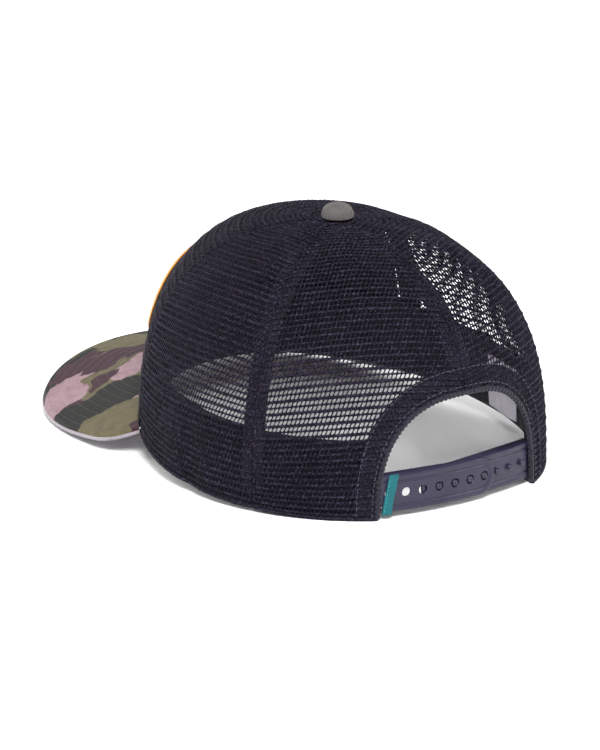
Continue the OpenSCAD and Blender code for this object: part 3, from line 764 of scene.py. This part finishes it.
def camo_finish(name, weave_mm, ground, print_, blots):
    """Camouflage twill: crisp printed blots of four dull colours over fine slanted ribs, with
    painted shade in the rib grooves.
    """
    made, tree, shader, place = blank_finish(name, 0.8, Sheen_Weight=0.06,
                                             Sheen_Roughness=0.5, Specular_IOR_Level=0.12)
    wobble = node(tree, "ShaderNodeTexNoise", {"Vector": place, "Scale": 55.0, "Detail": 2.0})
    shift = node(tree, "ShaderNodeVectorMath", {0: wobble.outputs["Color"], 1: (0.5, 0.5, 0.5)},
                 operation="SUBTRACT")
    push = node(tree, "ShaderNodeVectorMath", {0: shift.outputs[0], "Scale": 0.022},
                operation="SCALE")
    bent = node(tree, "ShaderNodeVectorMath", {0: place, 1: push.outputs[0]},
                operation="ADD").outputs[0]
    colour = (*ground, 1)
    for shade, size_mm, level, offset in print_:
        moved = node(tree, "ShaderNodeVectorMath", {0: bent, 1: offset}, operation="ADD")
        shape = soft_cloud(tree, moved.outputs[0], size_mm, level - 0.006, level + 0.006, 1.0)
        colour = mixed_colour(tree, shape, colour, (*shade, 1))
    for x, y, long, wide, turn, shade in blots:
        spot = node(tree, "ShaderNodeMapping",
                    {"Vector": bent, "Location": (x / 1000, (y + CENTRE_Y) / 1000, 0),
                     "Rotation": (0, 0, math.radians(turn)),
                     "Scale": (long / 1000, wide / 1000, 10)}, vector_type="TEXTURE")
        reach = node(tree, "ShaderNodeVectorMath", {0: spot.outputs[0]}, operation="LENGTH")
        inside = node(tree, "ShaderNodeMapRange", {"Value": reach.outputs["Value"],
                                                   "From Min": 1.03, "From Max": 0.97})
        colour = mixed_colour(tree, inside.outputs[0], colour, (*shade, 1))
    aligned = node(tree, "ShaderNodeMapping", {"Vector": place, "Rotation": (0, 0, 0.9)})
    ribs = node(tree, "ShaderNodeTexWave", {"Vector": aligned.outputs[0],
                                            "Scale": 1000 / weave_mm / 3.14,
                                            "Distortion": 0.8, "Detail": 1.0})
    faded = mixed_colour(tree, soft_cloud(tree, place, 5), (0.80, 0.79, 0.80, 1), (1, 1, 1, 1))
    worn = node(tree, "ShaderNodeMix", data_type="RGBA", blend_type="MULTIPLY")
    worn.inputs[0].default_value = 1.0
    tree.links.new(colour, worn.inputs[6])
    tree.links.new(faded, worn.inputs[7])
    # Multiplies the colour by the ribs, darkening their troughs: painted shade in the grooves.
    deep = node(tree, "ShaderNodeMix", data_type="RGBA", blend_type="MULTIPLY")
    deep.inputs[0].default_value = 0.35
    tree.links.new(worn.outputs[2], deep.inputs[6])
    tree.links.new(ribs.outputs["Color"], deep.inputs[7])
    tree.links.new(deep.outputs[2], shader.inputs["Base Color"])
    raised(tree, shader, ribs.outputs["Fac"], 0.10)
    return made


OLIVE, MAUVE = (0.125, 0.106, 0.060), (0.32, 0.215, 0.237)
PLUM, COAL = (0.048, 0.020, 0.029), (0.016, 0.016, 0.015)
BLOTS = [  # x, y from the hem's centre, half length, half width in mm, turn in degrees, shade
    (50, -156, 24, 8, 22, PLUM), (12, -160, 18, 9, 0, OLIVE), (42, -165, 16, 4.5, 16, COAL),
    (76, -138, 13, 4.5, 40, COAL), (70, -130, 24, 10, 31, MAUVE), (86, -119, 10, 6, 40, MAUVE),
    (35, -121, 20, 9, 28, MAUVE), (86, -100, 14, 13, 0, COAL), (66, -101, 24, 10.5, 0, COAL),
    (48, -94, 13, 10, 10, COAL), (72, -90, 24, 7, 0, COAL), (80, -74, 24, 15, 0, OLIVE),
    (47, -131.5, 15, 3.5, 19.5, OLIVE),
    (53, -121.5, 13, 4, 19, PLUM), (39, -146, 20, 6, 24.5, PLUM), (4, -128, 12, 9, 60, PLUM)]
BUTTON_BLOTS = [(-4, -9, 3.4, 2.4, 20, MAUVE), (-5, -1, 2.6, 2.0, -30, OLIVE),
                (3, -11, 3.0, 2.0, 0, COAL)]
PRINT = [(PLUM, 52, 0.54, (3, 1, 0)), (MAUVE, 60, 0.57, (7, 5, 1)), (COAL, 56, 0.55, (1, 9, 4))]
camo = camo_finish("camo_twill", 0.8, OLIVE, PRINT, BLOTS)
camo_thread = yarn_finish("camo_thread", (0.028, 0.024, 0.019), (0.050, 0.042, 0.033),
                          roughness=0.5, sheen=0.3, thread_mm=0.25, patch_mm=8)
brim_top = sewn_piece("brim_top_cloth", [top_cover], brim_rows, camo, camo_thread,
                      stands_for=["brim_top_cover"], slot="camo_twill")

# The under cover: its rolled edge follows the outline past the board.
outs = np.concatenate([np.linspace(0, 1, 60), np.ones(6)])
lows = np.concatenate([np.full(60, -1.85), [-1.6, -1.2, -0.8, -0.45, -0.1, 0.2]])
insets = np.concatenate([np.zeros(60), [-0.2, -0.36, -0.38, -0.3, -0.05, 0.5]])
high_insets = np.concatenate([np.full(60, 0.75), [0.5, 0.25, 0.2, 0.3, 0.5, 0.7]])
highs = np.concatenate([np.full(60, -1.05), [-1.0, -0.8, -0.5, -0.2, 0.1, 0.3]])
steps = np.linspace(0, 1, 231)
under_grid = np.array([on_brim(brim_flat(steps, np.full(231, o), i), 0 * steps + z)
                       for o, i, z in zip(outs, insets, lows)])
inner_grid = np.array([on_brim(brim_flat(steps, np.full(231, o), i), 0 * steps + z)
                       for o, i, z in zip(outs, high_insets, highs)])
under_flat = np.array([brim_flat(steps, np.full(231, o)) for o in outs])
under_grid[:60, :, 2] += 0.20 * quilt(under_flat[:60]) / 1000
under_rows = [stitch_row(on_brim(line, -1.62), [0, 0, -1], long=1.5, pitch=2.3, thick=0.18)
              for line in stitch_lines if len(line) > 20]
lilac = twill_finish("lilac_twill", (0.24, 0.21, 0.24), (0.31, 0.28, 0.31), 0.8, (0, 0, 0.6))
lilac_thread = yarn_finish("lilac_thread", (0.32, 0.28, 0.33), (0.42, 0.38, 0.43),
                           roughness=0.5, sheen=0.3, thread_mm=0.25, patch_mm=8)
brim_under = sewn_piece("brim_under_cloth", [ply(under_grid, inner_grid)], under_rows, lilac,
                        lilac_thread, stands_for=["brim_under_cover"], slot="under_twill")


def moulded_finish(name, dark, light, roughness, grain_mm=1.2, depth_mm=0.03):
    """Moulded plastic with a faint grain and a slightly uneven gloss."""
    made, tree, shader, place = blank_finish(name, roughness, Specular_IOR_Level=0.38)
    tree.links.new(mixed_colour(tree, soft_cloud(tree, place, 14), (*dark, 1), (*light, 1)),
                   shader.inputs["Base Color"])
    gloss = soft_cloud(tree, place, 3.0)
    shine = node(tree, "ShaderNodeMapRange", {"Value": gloss, "To Min": roughness - 0.05,
                                              "To Max": roughness + 0.08})
    tree.links.new(shine.outputs[0], shader.inputs["Roughness"])
    raised(tree, shader, soft_cloud(tree, place, grain_mm, 0.2, 0.8), depth_mm)
    return made


def refinished(node_name, finish):
    """Gives a kept CAD part its finish."""
    for place in frame["nodes"][node_name].material_slots:
        place.material = finish


board_plastic = moulded_finish("board_plastic", (0.60, 0.60, 0.58), (0.68, 0.68, 0.66), 0.5)
refinished("brim_board", board_plastic)

# ---- Top button ----
# A steel shell covered in camouflage cloth, gathered under its rim. Its prong goes through
# the panels' points and is clenched over a washer inside.

BUTTON_R, BUTTON_Z = 500 * (button_high.x - button_low.x), 1000 * button_low.z
BUTTON_H = 1000 * (button_high.z - button_low.z)


def lathe(profile, sides, centre, pleats=None):
    """Closed rings turned about an upright line; profile is (radius, height) in mm."""
    a = np.linspace(0, 2 * np.pi, sides, endpoint=False)
    rings = []
    for r, z in profile:
        wave = 0 if pleats is None else pleats(a, z)
        reach = r + wave
        rings.append(np.stack([centre[0] + reach * np.cos(a), centre[1] + reach * np.sin(a),
                               centre[2] + z + 0 * a], -1) / 1000)
    return tube_faces(np.array(rings))


def gathers(a, z):
    low = np.clip(1 - z / (0.42 * BUTTON_H), 0, 1)
    return 0.16 * low * np.sin(30 * a + 0.6 * np.sin(3 * a)) + 0.05 * np.sin(5 * a + z)


angles = np.radians(np.linspace(0, 88.5, 22))
button_profile = [(BUTTON_R - 0.9, 0.1), (BUTTON_R - 0.35, -0.05), (BUTTON_R - 0.08, 0.25)]
button_profile += [(BUTTON_R * math.cos(a) ** 0.7, 0.45 + (BUTTON_H - 0.45) * math.sin(a) ** 0.82)
                   for a in angles]
middle = (0, CENTRE_Y - TOP_BACK, BUTTON_Z)
STONE = (0.105, 0.100, 0.098)
button_cloth = camo_finish("button_cloth", 0.8, STONE, [], BUTTON_BLOTS)
piece("button_cloth_cover", *lathe(button_profile, 180, middle, gathers), button_cloth,
      stands_for=["button_cover"], slot="button_cloth")


def steel_finish():
    made, tree, shader, place = blank_finish("pressed_steel", 0.35, Metallic=1.0)
    tree.links.new(mixed_colour(tree, soft_cloud(tree, place, 2.5), (0.36, 0.36, 0.37, 1),
                                (0.50, 0.50, 0.51, 1)), shader.inputs["Base Color"])
    raised(tree, shader, soft_cloud(tree, place, 0.7, 0.2, 0.8), 0.03)
    return made


steel = steel_finish()
for name in ("button_shell", "button_prong", "button_washer"):
    refinished(name, steel)

# ---- Snap strap ----
# Two moulded navy straps, each sewn under the binding at one side of the opening. Pegs
# with ball tips on the inner one snap through the holes of the outer one.

STRAP_R, STRAP_THICK, STRAP_LOW, STRAP_WIDE = 160.0, 1.2, 3.0, 18.0  # mm
HINGE_ARC, PEG_PITCH, FIRST_PEG, HOLE_R = 42.4, 8.6, 13.6, 2.2
SEWN_IN = 5.0  # mm of strap past its hinge line, under the binding
STRAP_Y = (HALF_LONG * math.cos(math.radians(OPEN_HALF)) - 2.2 + CENTRE_Y
           - math.sqrt(STRAP_R**2 - (HALF_WIDE * math.sin(math.radians(OPEN_HALF))) ** 2))
HOLES_TIP, PEGS_TIP = FIRST_PEG - 3 * PEG_PITCH - 6.4, FIRST_PEG + PEG_PITCH
strap_plastic = moulded_finish("strap_plastic", (0.012, 0.0105, 0.027),
                               (0.017, 0.015, 0.035), 0.33)


def on_strap(arc, z, radius):
    """A point on the strap's line: arc and z in mm. Past the hinges it turns in, into the seam."""
    arc = np.asarray(arc, float)
    past = np.maximum(np.abs(arc) - HINGE_ARC, 0)
    angle = np.clip(arc, -HINGE_ARC, HINGE_ARC) / STRAP_R
    bend = np.abs(angle) + 0.62 * np.clip(past / 2, 0, 1)
    x = radius * np.sin(angle) + np.sign(arc) * past * np.cos(bend)
    y = STRAP_Y + radius * np.cos(angle) - past * np.sin(bend)
    return np.stack(np.broadcast_arrays(x, y, z), -1) / 1000


def strap_plate(tip, sewn_end, holes, outer, radius):
    """A strap from its round tip to its sewn end, with real holes; outer(arc, z) is its relief."""
    side = 1 if sewn_end > tip else -1
    half = STRAP_WIDE / 2
    centre_z, centre_arc = STRAP_LOW + half, tip + side * half
    swing = np.linspace(-np.pi / 2, np.pi / 2, 41)
    round_tip = [(centre_arc - side * half * math.cos(a), centre_z + half * math.sin(a))
                 for a in swing]
    outline = round_tip + [(sewn_end, centre_z + half), (sewn_end, centre_z - half)]
    points, edges = list(outline), [(i, (i + 1) % len(outline)) for i in range(len(outline))]
    for arc in holes:
        start = len(points)
        points += [(arc + HOLE_R * math.cos(a), centre_z + HOLE_R * math.sin(a))
                   for a in np.linspace(0, 2 * np.pi, 40, endpoint=False)]
        edges += [(start + i, start + (i + 1) % 40) for i in range(40)]

    def solid(p, room=0.0):
        arc, z = p
        if abs(z - centre_z) > half - room or (sewn_end - arc) * side < room:
            return False
        from_tip = math.hypot(arc - centre_arc, z - centre_z)
        if (arc - centre_arc) * side < 0 and from_tip > half - room:
            return False
        return all(math.hypot(arc - a, z - centre_z) > HOLE_R + room for a in holes)
    for arc in np.arange(min(tip, sewn_end), max(tip, sewn_end), 0.55):
        for z in np.arange(STRAP_LOW + 0.15, STRAP_LOW + STRAP_WIDE, 0.3):
            if solid((arc, z), 0.2):
                points.append((float(arc), float(z)))
    made = geometry.delaunay_2d_cdt([Vector(p) for p in points], edges, [], 0, 1e-5)
    flat = np.array([list(p) for p in made[0]])
    faces = [f for f in made[2] if solid(flat[list(f)].mean(0))]
    arcs, zs = flat.T
    front = on_strap(arcs, zs, radius + STRAP_THICK / 2 + outer(arcs, zs))
    rear = on_strap(arcs, zs, radius - STRAP_THICK / 2 + 0 * arcs)
    count, seen = len(flat), {}
    for f in faces:
        for i in range(len(f)):
            seen[(f[i], f[(i + 1) % len(f)])] = True
    rim = [(b, a, a + count, b + count) for a, b in seen if (b, a) not in seen]
    faces = [list(f) for f in faces] + [[i + count for i in reversed(f)] for f in faces]
    return np.concatenate([front, rear]), faces + [list(f) for f in rim]


def strap_relief(tip, side):
    def relief(arc, z):
        from_low = z - STRAP_LOW
        half = STRAP_WIDE / 2
        past = np.maximum(0, (tip + side * half - arc) * side)
        in_from_rim = half - np.hypot(past, z - STRAP_LOW - half)
        rim = np.where(past > 0, in_from_rim, np.minimum(from_low, STRAP_WIDE - from_low))
        groove = np.exp(-(((rim - 3.4) / 0.4) ** 2))
        bead = np.exp(-(((rim - 1.3) / 0.9) ** 2)) * 0.22
        rounded = 0.35 * np.clip(1 - rim / 0.5, 0, 1) ** 2
        return bead - 0.5 * groove - rounded - 0.05
    return relief


hole_arcs = [FIRST_PEG - k * PEG_PITCH for k in range(-3, 4)]
peg_arcs = [FIRST_PEG - k * PEG_PITCH for k in range(7)]
holes_mid = STRAP_R + STRAP_THICK / 2
holed_plate = strap_plate(HOLES_TIP, HINGE_ARC + SEWN_IN, hole_arcs,
                          strap_relief(HOLES_TIP, 1), holes_mid)
strap_holes = piece("snap_strap_holed", *holed_plate, strap_plastic, body=None,
                    stands_for=["snap_strap_holes"], slot="strap_plastic")
on_strap(HINGE_ARC + 0.8, STRAP_LOW, STRAP_R)
on_strap(HINGE_ARC - 2.5, STRAP_LOW, STRAP_R)
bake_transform(strap_holes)


def peg(arc):
    """A peg with a waist and a ball tip, standing out from the inner strap."""
    foot = STRAP_R - 0.15 - STRAP_THICK * 0.6
    profile = [(1.7, 0.0), (1.7, 0.5), (1.3, 0.9), (1.1, 1.2), (1.25, 1.45), (1.45, 1.7),
               (1.58, 2.0), (1.54, 2.3), (1.32, 2.56), (0.98, 2.76), (0.55, 2.88), (0.15, 2.93)]
    a = np.linspace(0, 2 * np.pi, 28, endpoint=False)
    z = STRAP_LOW + STRAP_WIDE / 2
    rings = [on_strap(arc + r * np.cos(a), z + r * np.sin(a), foot + h - 0.35)
             for r, h in profile]
    return tube_faces(np.array(rings))


pegs_mid = STRAP_R - 0.15 - STRAP_THICK / 2
plain_plate = strap_plate(PEGS_TIP, -HINGE_ARC - SEWN_IN, [], strap_relief(PEGS_TIP, -1),
                          pegs_mid)
strap_pegs = piece("snap_strap_pegged", *joined(plain_plate, *[peg(a) for a in peg_arcs]),
                   strap_plastic, body=None, stands_for=["snap_strap_pegs"],
                   slot="strap_plastic")
on_strap(-HINGE_ARC - 0.8, STRAP_LOW, STRAP_R)
on_strap(-HINGE_ARC + 2.5, STRAP_LOW, STRAP_R)
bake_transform(strap_pegs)

# ---- Side tag ----
# A short folded loop of teal ribbon, sewn over the outer strap's end. It is left blank.


def ribbon_finish(name, dark, light, rib_mm, roughness, sheen):
    """Woven ribbon: fine level ribs with a satin gleam, and painted shade in the grooves between
    them.
    """
    made, tree, shader, place = blank_finish(name, roughness, Sheen_Weight=sheen,
                                             Sheen_Roughness=0.35, Specular_IOR_Level=0.25)
    ribs = node(tree, "ShaderNodeTexWave", {"Vector": place, "Scale": 1000 / rib_mm / 3.14,
                                            "Distortion": 0.4, "Detail": 1.0},
                bands_direction="Z")
    tone = mixed_colour(tree, soft_cloud(tree, place, 6), (*dark, 1), (*light, 1))
    # deep is a darker copy of the ribbon put in the rib grooves: painted shade.
    deep = tuple(0.8 * c for c in dark)
    tree.links.new(mixed_colour(tree, ribs.outputs["Fac"], (*deep, 1), tone),
                   shader.inputs["Base Color"])
    raised(tree, shader, ribs.outputs["Fac"], 0.07)
    return made


tag_start, tag_wide = HINGE_ARC - 1.2, 4.6
TAG_LEAN_LOW, TAG_LEAN = 2.0, 3.4  # mm towards the seam at its foot, and back over its height
TAG_DOWN, TAG_TALL = 0.4, 18.8
tag_mid = STRAP_R + STRAP_THICK + 0.95
ease = np.linspace(0, 1, 10)
bend = np.linspace(-np.pi / 2, np.pi / 2, 9)[1:-1]
fold_r, ply_half = 0.27, 0.16  # mm
fold_at = tag_start - tag_wide + fold_r + ply_half
centre_line = np.concatenate([
    np.stack([tag_start + (fold_at - tag_start) * ease, 0 * ease + fold_r], -1),
    np.stack([fold_at - fold_r * np.cos(bend), -fold_r * np.sin(bend)], -1),
    np.stack([fold_at + (tag_start - fold_at) * ease, 0 * ease - fold_r], -1)])
way = np.gradient(centre_line, axis=0)
way /= np.linalg.norm(way, axis=1, keepdims=True)
normal = np.stack([way[:, 1], -way[:, 0]], -1) * ply_half
tag_loop = np.concatenate([centre_line + normal, (centre_line - normal)[::-1]])
tag_rings = []
for z in np.linspace(0, 1, 40):
    bow = 0.10 * math.sin(math.pi * z) + 0.05 * math.sin(7 * z)
    lean = TAG_LEAN_LOW - TAG_LEAN * z + 0.2 * math.sin(5 * z)
    tag_rings.append(on_strap(tag_loop[:, 0] + lean,
                              STRAP_LOW - TAG_DOWN + TAG_TALL * z, tag_mid + tag_loop[:, 1] + bow))
tag_height = np.linspace(STRAP_LOW + 0.6, STRAP_LOW + 17.4, 60)
tag_arc = (tag_start - 0.6 + TAG_LEAN_LOW
           - TAG_LEAN * (tag_height - STRAP_LOW + TAG_DOWN) / TAG_TALL)
tag_line = on_strap(tag_arc, tag_height, tag_mid + 0.5)
tag_out = on_strap(tag_arc, tag_height, tag_mid + 3) - tag_line
teal = ribbon_finish("teal_ribbon", (0.001, 0.085, 0.100), (0.0015, 0.110, 0.125), 0.45, 0.5, 0.05)
teal_thread = yarn_finish("teal_thread", (0.003, 0.14, 0.16), (0.005, 0.20, 0.22),
                          roughness=0.5, sheen=0.3, thread_mm=0.25, patch_mm=4)
tag = sewn_piece("side_tag_ribbon", [tube_faces(np.array(tag_rings))],
                 [stitch_row(tag_line, tag_out, long=1.5, pitch=2.0, thick=0.13)],
                 teal, teal_thread, body=None, stands_for=["side_tag"], slot="tag_ribbon")
on_strap(HINGE_ARC + 0.8, STRAP_LOW, STRAP_R)
on_strap(HINGE_ARC - 2.5, STRAP_LOW, STRAP_R)
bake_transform(tag)

# ---- Care label ----
# A blank satin label that hangs inside the back of the sweatband. One row of stitches
# along its top holds it, and it lifts on that row.

label_low, label_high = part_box("care_label")
for joint in frame["joints"]:
    if joint["name"] == "label_lift":
        label_axis = Vector(joint["axis"]).normalized()
LABEL_WIDE, LABEL_TALL = 0.030, 0.026
label_mid = (label_low + label_high) / 2
outward = Vector((label_axis.y, -label_axis.x, 0)).normalized()
if outward.dot(label_mid - Vector((0, CENTRE_Y / 1000, label_mid.z))) < 0:
    outward = -outward
side_way = np.linspace(-0.5, 0.5, 41)[None, :]
down = np.linspace(0, 1, 37)[:, None]
hang = np.clip(down - 0.1, 0, 1)
curl = (0.0010 * (np.cos(np.pi * side_way) - 0.4) * hang + 0.0006 * np.sin(5 * side_way + 3 * down)
        * hang - 0.0008 * hang**4)
centre = np.array(label_mid)
label_grid = (centre + np.array(label_axis) * (side_way * LABEL_WIDE)[..., None]
              + np.array([0, 0, 1.0]) * ((0.5 - down) * LABEL_TALL)[..., None]
              + np.array(outward) * (-0.0004 - curl)[..., None])
label_back = label_grid + np.array(outward) * 0.00035
label_line = label_grid[2] - np.array(outward) * 0.00008
satin = ribbon_finish("label_satin", (0.80, 0.75, 0.86), (0.88, 0.84, 0.93), 0.35, 0.4, 0.4)
label = sewn_piece("care_label_satin", [ply(label_grid, label_back)],
                   [stitch_row(label_line, -np.array(outward), long=1.6, pitch=2.3, thick=0.12)],
                   satin, lilac_thread, body="label", stands_for=["care_label"],
                   slot="label_ribbon")

# ---- Stage ----
# A wide pale floor under a white sky, three soft lamps, and the camera behind the cap's
# left side.

def stage_finish():
    made, _, shader, _ = blank_finish("floor_white", 0.9)
    shader.inputs["Base Color"].default_value = (0.95, 0.95, 0.95, 1)
    return made


floor = piece("floor", [(-6, -6, 0), (6, -6, 0), (6, 6, 0), (-6, 6, 0)], [(0, 1, 2, 3)],
              stage_finish(), body=None)
scene = bpy.context.scene
scene.view_settings.view_transform = "Standard"
world = bpy.data.worlds.new("daylight")
scene.world = world
world.use_nodes = True
world.node_tree.nodes["Background"].inputs["Color"].default_value = (1, 1, 1, 1)
world.node_tree.nodes["Background"].inputs["Strength"].default_value = 0.75
AIM = Vector((0, CENTRE_Y / 1000, 0.070))


def softbox(name, place, size, power):
    light = bpy.data.lights.new(name, "AREA")
    light.size, light.energy = size, power
    made = bpy.data.objects.new(name, light)
    scene.collection.objects.link(made)
    made.location = place
    made.rotation_euler = (AIM - Vector(place)).to_track_quat("-Z", "Y").to_euler()


softbox("key", (0.9, 1.3, 1.5), 0.7, 70)
softbox("fill", (-1.4, 1.3, 0.9), 1.0, 12)
softbox("front", (0.8, -1.4, 0.9), 1.0, 12)

TURN, LIFT, AWAY = math.radians(143.5), math.radians(16.6), 2.2
back = Vector((math.sin(TURN) * math.cos(LIFT), -math.cos(TURN) * math.cos(LIFT), math.sin(LIFT)))
right = Vector((math.cos(TURN), math.sin(TURN), 0))
camera = bpy.data.objects.new("camera", bpy.data.cameras.new("camera"))
scene.collection.objects.link(camera)
camera.location = AIM + AWAY * back
look = AIM - 0.0198 * right - 0.0297 * back.cross(right)
camera.rotation_euler = (look - camera.location).to_track_quat("-Z", "Y").to_euler()
camera.data.sensor_width, camera.data.lens = 36, 225
camera.data.clip_start, camera.data.clip_end = 0.1, 50
scene.camera = camera
